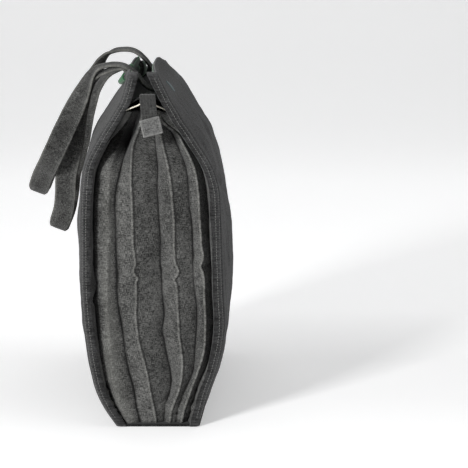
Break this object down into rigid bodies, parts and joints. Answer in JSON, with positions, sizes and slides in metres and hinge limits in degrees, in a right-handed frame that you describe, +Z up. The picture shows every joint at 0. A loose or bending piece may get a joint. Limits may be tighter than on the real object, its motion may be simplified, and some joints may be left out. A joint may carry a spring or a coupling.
{
  "type": "accordion bag",
  "caption": "Soft shoulder bag whose pleated ends fold like an accordion between bulging cloth panels, with a sunken zipped top and strap handles flopped to one side.",
  "frame": {"origin": "middle of the underside of the base, on the floor", "axes": "+Z up, +Y from the front pleated end to the back one along the bag, +X to the bag's right, away from the side the handles hang over"},
  "size_m": [0.2333, 0.4263, 0.385],
  "materials": {
    "panel_cloth": "matt brushed charcoal twill",
    "pleat_cloth": "matt brushed charcoal twill",
    "strap_cloth": "matt brushed charcoal twill, folded and stitched",
    "felt": "matt green felt",
    "zip_webbing": "ribbed woven tape",
    "tab_cloth": "matt grey cloth, stitched",
    "wire_steel": "satin"
  },
  "bodies": {
    "root": {"panel_left": "panel_cloth", "panel_right": "panel_cloth", "lining_left": "felt", "lining_right": "felt", "base_panel": "panel_cloth", "gusset_front": "pleat_cloth", "gusset_back": "pleat_cloth", "roof_strip_left": "panel_cloth", "roof_strip_right": "panel_cloth", "zip_tape": "zip_webbing", "zip_tab": "tab_cloth", "wire_front": "wire_steel", "wire_back": "wire_steel", "handle_right": "strap_cloth", "handle_left": "strap_cloth"}
  },
  "joints": []
}
